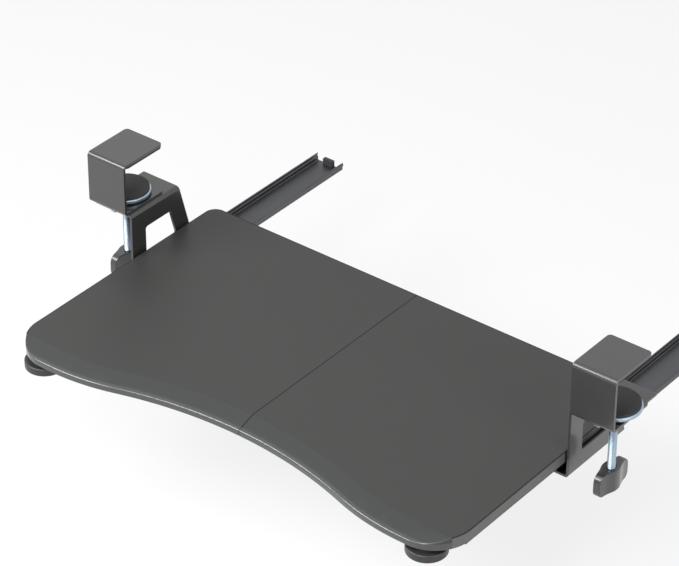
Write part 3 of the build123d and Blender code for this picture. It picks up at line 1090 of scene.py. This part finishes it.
def driven_screw(name, low, high, kind, recess):
    """A screw with its head down at low.z, a cross recess in it and a plain point."""
    head, shank = kind.head, kind.shank
    centre = (low + high) / 2
    face = head * FACE_SHARE if kind.height else head
    place = (centre.x, centre.y, low.z + HEAD_START / 2)
    clear_choice()
    bpy.ops.mesh.primitive_cylinder_add(vertices=32, radius=face, depth=HEAD_START, location=place)
    screw = start(name)
    stations = [(low.z + HEAD_START, face)]
    if kind.height:
        stations += [(low.z + kind.height * up, head * wide) for up, wide in PROFILE_SHARES]
        stations += [(low.z + kind.height, shank)]
    else:
        stations += [(low.z + SUNK_RIM, head), (low.z + head - shank, shank)]
    stations += [(high.z - shank * POINT_LENGTH_SHARE, shank), (high.z, shank * POINT_END_SHARE)]
    turn_up(screw, centre, face, stations)
    for arm in cross_cutter(centre, 2 * head * recess, head * RECESS_DEPTH_SHARE, low.z):
        apply(screw, "BOOLEAN", object=arm, operation="DIFFERENCE", solver="EXACT")
        bpy.data.objects.remove(arm)
    return settle(screw, SMALL_SCREW_SMOOTH)


def turn_over(piece, middle):
    """Turns the piece upside down about a point."""
    pick(piece)
    choose_all()
    bpy.ops.transform.rotate(value=math.pi, orient_axis="X", center_override=middle)
    bpy.ops.object.mode_set(mode="OBJECT")


class TRAY_OT_small_screws(Operator):
    """Make the small screws with cross recesses in their heads"""

    bl_idname = "tray.small_screws"
    bl_label = "Small screws"

    def execute(self, context):
        recess = context.scene.tray_screws.recess
        self.make("joining_screws", JOINING_SCREW, recess)
        for side in SIDES:
            for name, kind in SIDE_SCREWS.items():
                self.make(f"{side}_{name}", kind, recess)
        return {"FINISHED"}

    def make(self, node, kind, recess):
        """Makes the node's first screw, copies it to the places of the others and joins them."""
        places = spots(node)
        low, high = places[0]
        home = (low + high) / 2
        first = driven_screw(node, low, high, kind, recess)
        if kind.turned:
            turn_over(first, home)
        twins = [copy_at(first, (a + b) / 2 - home) for a, b in places[1:]]
        for twin in twins:
            settle(twin, SMALL_SCREW_SMOOTH)
        piece = join(f"{node}_driven", [first] + twins)
        finish = "threaded" if kind.slot == "zinc_plate" else kind.slot
        dress(piece, finish, kind.body, node)


class TRAY_OT_discs(Operator):
    """Ease the rims of the pressure discs"""

    bl_idname = "tray.discs"
    bl_label = "Pressure discs"

    def execute(self, context):
        for side in SIDES:
            piece = edged(f"{side}_pressure_disc", f"{side}_disc_plated", DISC_EDGE)
            dress(piece, "zinc_plate", f"{side}_disc", f"{side}_pressure_disc")
        return {"FINISHED"}


# Lamps by the name of their power: place, width and height. All of them point at one place.
LAMPS = {
    "key": ((-0.80, -0.95, 0.92), 0.95, 0.60),
    "fill": ((0.30, -1.50, 1.30), 0.60, 0.90),
    "side": ((1.90, -0.30, 0.55), 0.70, 0.70),
    "top": ((0.0, -0.70, 1.70), 1.20, 0.70),
}
LAMP_AIM = Vector((0, -0.05, -0.08))

# Camera: its sensor in millimetres, and how far it sees in metres
SENSOR_WIDTH = 36
VIEW_DEPTH = 50

# The even light on the object, and the white that is seen behind it and in the floor
SKY_COLOUR = (0.96, 0.98, 1.0)
WHITE = (1.0, 1.0, 1.0)

# Floor: its side, its colour in the object's light, and how much of what is seen is its own glow
FLOOR_SIZE = 14
FLOOR_COLOUR = (0.90, 0.90, 0.90)
FLOOR_GLOW = 0.82


def seen(nodes):
    """1 for what the camera, a reflection or clear material sees, 0 for light on the object."""
    camera, glossy, clear = (
        nodes.add("ShaderNodeLightPath", output=f"Is {kind} Ray")
        for kind in ("Camera", "Glossy", "Transmission")
    )
    return camera | glossy | clear


class TRAY_OT_stage(Operator):
    """Set the camera, the soft light and the pale floor"""

    bl_idname = "tray.stage"
    bl_label = "Stage"

    def execute(self, context):
        setup = context.scene.tray_stage
        self.camera(context, setup)
        self.lamps(context, setup)
        self.sky(context, setup)
        self.floor(setup)
        context.scene.view_settings.view_transform = "Standard"
        return {"FINISHED"}

    def camera(self, context, setup):
        az, el = setup.azimuth, setup.elevation
        back = Vector((math.sin(az) * math.cos(el), -math.cos(az) * math.cos(el), math.sin(el)))
        level = (-back).cross(Vector((0, 0, 1))).normalized()
        over = level.cross(-back)
        right = math.cos(setup.roll) * level + math.sin(setup.roll) * over
        up = -math.sin(setup.roll) * level + math.cos(setup.roll) * over
        data = bpy.data.cameras.new("camera")
        data.sensor_width = SENSOR_WIDTH
        data.lens = setup.lens
        data.clip_end = VIEW_DEPTH
        camera = bpy.data.objects.new("camera", data)
        turn = Matrix((right, up, back)).transposed().to_4x4()
        place = Vector(setup.target) + back * setup.distance
        camera.matrix_world = Matrix.Translation(place) @ turn
        context.scene.collection.objects.link(camera)
        context.scene.camera = camera

    def lamps(self, context, setup):
        for name, (place, width, height) in LAMPS.items():
            data = bpy.data.lights.new(name, "AREA")
            data.shape = "RECTANGLE"
            data.size = width
            data.size_y = height
            data.energy = getattr(setup, name)
            lamp = bpy.data.objects.new(name, data)
            lamp.location = place
            aim = LAMP_AIM - Vector(place)
            lamp.rotation_euler = aim.to_track_quat("-Z", "Y").to_euler()
            context.scene.collection.objects.link(lamp)

    def sky(self, context, setup):
        world = bpy.data.worlds.new("even_light")
        nodes = Nodes(world)
        inputs = {"Color": SKY_COLOUR, "Strength": setup.sky}
        light = nodes.add("ShaderNodeBackground", inputs=inputs)
        backdrop = nodes.add("ShaderNodeBackground", inputs={"Color": WHITE})
        inputs = {0: seen(nodes), 1: light, 2: backdrop}
        surface = nodes.add("ShaderNodeMixShader", inputs=inputs)
        nodes.add("ShaderNodeOutputWorld", inputs={"Surface": surface})
        context.scene.world = world

    def floor(self, setup):
        place = (0, 0, cad_box[0].z - setup.floor_drop)
        clear_choice()
        bpy.ops.mesh.primitive_plane_add(size=FLOOR_SIZE, location=place)
        floor = start("floor")
        bpy.ops.object.transform_apply(location=True, rotation=True, scale=True)
        material = bpy.data.materials.new("pale_floor")
        nodes = Nodes(material)
        matt = nodes.add("ShaderNodeBsdfDiffuse", inputs={"Color": FLOOR_COLOUR})
        glow = nodes.add("ShaderNodeEmission", inputs={"Color": WHITE})
        inputs = {0: seen(nodes) * FLOOR_GLOW, 1: matt, 2: glow}
        surface = nodes.add("ShaderNodeMixShader", inputs=inputs)
        nodes.add("ShaderNodeOutputMaterial", inputs={"Surface": surface})
        floor.data.materials.append(material)


# The add-on's lists of settings and steps, its panel and its registration

groups = (
    ("tray_boards", BoardFinish),
    ("tray_steel", SteelFinish),
    ("tray_screws", ScrewSizes),
    ("tray_knobs", KnobSizes),
    ("tray_stage", StageSetup),
)
operators = (
    TRAY_OT_finishes,
    TRAY_OT_boards,
    TRAY_OT_clamps,
    TRAY_OT_clamp_screws,
    TRAY_OT_knobs,
    TRAY_OT_small_screws,
    TRAY_OT_discs,
    TRAY_OT_stage,
)


class TRAY_PT_panel(Panel):
    """Lists the settings and the steps that dress the tray"""

    bl_idname = "TRAY_PT_panel"
    bl_label = "Keyboard tray"
    bl_space_type = "VIEW_3D"
    bl_region_type = "UI"
    bl_category = "Tray"

    def draw(self, context):
        for name, kind in groups:
            box = self.layout.box()
            for key in kind.__annotations__:
                box.prop(getattr(context.scene, name), key)
        for operator in operators:
            self.layout.operator(operator.bl_idname)


def register():
    for name, kind in groups:
        bpy.utils.register_class(kind)
        setattr(bpy.types.Scene, name, PointerProperty(type=kind))
    for kind in (*operators, TRAY_PT_panel):
        bpy.utils.register_class(kind)


def unregister():
    for kind in reversed((*operators, TRAY_PT_panel)):
        bpy.utils.unregister_class(kind)
    for name, kind in reversed(groups):
        delattr(bpy.types.Scene, name)
        bpy.utils.unregister_class(kind)


def main():
    register()
    bpy.ops.tray.finishes()
    bpy.ops.tray.boards()
    bpy.ops.tray.clamps()
    bpy.ops.tray.clamp_screws()
    bpy.ops.tray.knobs()
    bpy.ops.tray.small_screws()
    bpy.ops.tray.discs()
    bpy.ops.tray.stage()


if __name__ == "__main__":
    main()
